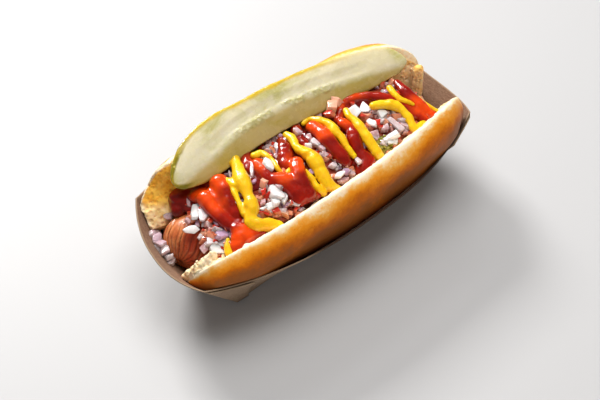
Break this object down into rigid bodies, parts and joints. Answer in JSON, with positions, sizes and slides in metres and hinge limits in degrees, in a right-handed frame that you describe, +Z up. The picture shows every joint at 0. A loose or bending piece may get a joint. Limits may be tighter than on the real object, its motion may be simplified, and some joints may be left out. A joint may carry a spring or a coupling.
{
  "type": "hot dog",
  "caption": "Hot dog in an open paperboard tray: hinged bun, smoked sausage, diced onion and tomato, piped ketchup and mustard, and a pickle spear laid on the back half.",
  "frame": {"origin": "on the underside of the tray's floor, below the middle of the whole", "axes": "+X along the hot dog towards the round tip of the bun's front half, +Y towards the half that carries the pickle, +Z up"},
  "size_m": [0.1602, 0.0765, 0.0589],
  "materials": {
    "kraft_board": "matt uncoated kraft board, lighter at its cut edge",
    "bread": "satin golden crust, matt pale crumb on the cut faces",
    "sausage": "glossy moist skin",
    "pickle": "wet, slightly translucent",
    "toppings": "moist diced onion and tomato",
    "ketchup": "glossy sauce",
    "mustard": "satin sauce"
  },
  "bodies": {
    "root": {"paper_tray": "kraft_board", "bun": "bread", "sausage": "sausage", "pickle_spear": "pickle", "diced_toppings": "toppings", "ketchup": "ketchup", "mustard": "mustard"}
  },
  "joints": []
}
